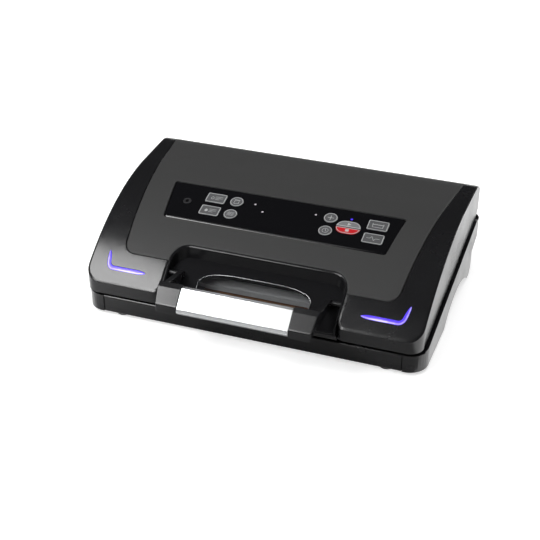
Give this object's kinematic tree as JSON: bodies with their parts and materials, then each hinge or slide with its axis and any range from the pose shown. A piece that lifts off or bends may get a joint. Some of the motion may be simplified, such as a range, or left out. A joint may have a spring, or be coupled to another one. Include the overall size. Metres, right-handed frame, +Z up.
{
  "type": "vacuum sealer",
  "caption": "Countertop vacuum sealer: hinged curved lid with key panel, light strips and a swinging bar handle over a low base with a bag slot and drip tray.",
  "frame": {"origin": "middle of the footprint, on the surface that the feet stand on", "axes": "+X to the right along the bar handle, +Y to the hinged rear, +Z up"},
  "size_m": [0.4054, 0.3106, 0.112],
  "materials": {
    "black_frame": "satin black moulding",
    "matte_cover": "fine matte dark grey",
    "gloss_black": "high gloss",
    "dark_plastic": "moulded, semi-matte",
    "rubber_black": "matte",
    "gasket_foam": "matte foam",
    "press_silicone": "brown silicone",
    "tape_brown": "coated glass cloth",
    "heater_wire": "rolled",
    "carrier_board": "laminate",
    "steel": "plain",
    "black_steel": "blackened",
    "aluminium": "brushed",
    "window_clear": "clear",
    "key_grey": "satin",
    "key_light_grey": "satin",
    "key_red": "satin red",
    "light_violet": "lit lens",
    "lens_blue": "clear tinted",
    "board_green": "solder mask",
    "hose_clear": "translucent silicone",
    "copper": "wound and varnished",
    "brass": "turned"
  },
  "bodies": {
    "base": {"base_housing": "black_frame", "base_bottom_cover": "dark_plastic", "base_front_panel": "black_frame", "rubber_feet": "rubber_black", "base_screws": "steel", "drip_tray": "dark_plastic", "lower_gasket": "gasket_foam", "heating_carrier": "carrier_board", "heating_element": "heater_wire", "ptfe_tape": "tape_brown", "latch_strikers": "steel", "pump_motor": "steel", "pump_body": "dark_plastic", "pump_bracket": "steel", "transformer": "copper", "power_board": "board_green", "fan_frame": "dark_plastic", "power_inlet": "dark_plastic", "hinge_brackets": "steel", "hinge_pins": "steel", "suction_nozzle": "hose_clear", "vacuum_hose": "hose_clear", "release_valve": "dark_plastic", "pressure_sensor": "dark_plastic", "lock_switch": "dark_plastic"},
    "lid": {"lid_frame": "black_frame", "lid_cover": "matte_cover", "lid_liner": "dark_plastic", "recess_pan": "gloss_black", "viewing_window": "window_clear", "press_bar": "aluminium", "press_strip": "press_silicone", "upper_gasket": "gasket_foam", "control_panel": "gloss_black", "control_board": "board_green", "indicator_lenses": "lens_blue", "light_strip_left": "light_violet", "light_strip_right": "light_violet", "led_boards": "board_green", "port_bush": "dark_plastic", "port_hose": "hose_clear", "lid_screws": "steel"},
    "handle": {"handle_bar": "aluminium", "handle_arm_left": "black_frame", "handle_arm_right": "black_frame", "latch_hooks": "black_steel"},
    "fan_rotor": {"fan_rotor": "dark_plastic"},
    "pump_crank": {"pump_crank": "brass"},
    "mode_key_1": {"mode_key_1": "key_grey"},
    "mode_key_2": {"mode_key_2": "key_grey"},
    "side_key_1": {"side_key_1": "key_grey"},
    "side_key_2": {"side_key_2": "key_grey"},
    "round_key_1": {"round_key_1": "key_grey"},
    "round_key_2": {"round_key_2": "key_grey"},
    "round_key_3": {"round_key_3": "key_grey"},
    "round_key_4": {"round_key_4": "key_grey"},
    "start_key": {"start_key": "key_light_grey"},
    "stop_key": {"stop_key": "key_red"}
  },
  "joints": [
    {"name": "lid_hinge", "type": "hinge", "parent": "base", "child": "lid", "pos_m": [0, 0.14131, 0.0765], "axis": [-1, 0, 0], "range_deg": [0, 62]},
    {"name": "handle_pivot", "type": "hinge", "parent": "lid", "child": "handle", "pos_m": [0, -0.08369, 0.05862], "axis": [-1, 0, 0], "range_deg": [-16, 40]},
    {"name": "fan_spin", "type": "hinge", "parent": "base", "child": "fan_rotor", "pos_m": [0.02, 0.10851, 0.033], "axis": [0, 1, 0], "continuous": true},
    {"name": "pump_spin", "type": "hinge", "parent": "base", "child": "pump_crank", "pos_m": [0.104, 0.08031, 0.028], "axis": [1, 0, 0], "continuous": true},
    {"name": "mode_key_1_press", "type": "slide", "parent": "lid", "child": "mode_key_1", "axis": [0, 0.23, -0.9732], "range_m": [0, 0.0006], "stiffness_N_per_m": 400},
    {"name": "mode_key_2_press", "type": "slide", "parent": "lid", "child": "mode_key_2", "axis": [0, 0.23, -0.9732], "range_m": [0, 0.0006], "stiffness_N_per_m": 400},
    {"name": "side_key_1_press", "type": "slide", "parent": "lid", "child": "side_key_1", "axis": [0, 0.23, -0.9732], "range_m": [0, 0.0006], "stiffness_N_per_m": 400},
    {"name": "side_key_2_press", "type": "slide", "parent": "lid", "child": "side_key_2", "axis": [0, 0.23, -0.9732], "range_m": [0, 0.0006], "stiffness_N_per_m": 400},
    {"name": "round_key_1_press", "type": "slide", "parent": "lid", "child": "round_key_1", "axis": [0, 0.23, -0.9732], "range_m": [0, 0.0006], "stiffness_N_per_m": 400},
    {"name": "round_key_2_press", "type": "slide", "parent": "lid", "child": "round_key_2", "axis": [0, 0.23, -0.9732], "range_m": [0, 0.0006], "stiffness_N_per_m": 400},
    {"name": "round_key_3_press", "type": "slide", "parent": "lid", "child": "round_key_3", "axis": [0, 0.23, -0.9732], "range_m": [0, 0.0006], "stiffness_N_per_m": 400},
    {"name": "round_key_4_press", "type": "slide", "parent": "lid", "child": "round_key_4", "axis": [0, 0.23, -0.9732], "range_m": [0, 0.0006], "stiffness_N_per_m": 400},
    {"name": "start_key_press", "type": "slide", "parent": "lid", "child": "start_key", "axis": [0, 0.23, -0.9732], "range_m": [0, 0.0006], "stiffness_N_per_m": 400},
    {"name": "stop_key_press", "type": "slide", "parent": "lid", "child": "stop_key", "axis": [0, 0.23, -0.9732], "range_m": [0, 0.0006], "stiffness_N_per_m": 400}
  ]
}
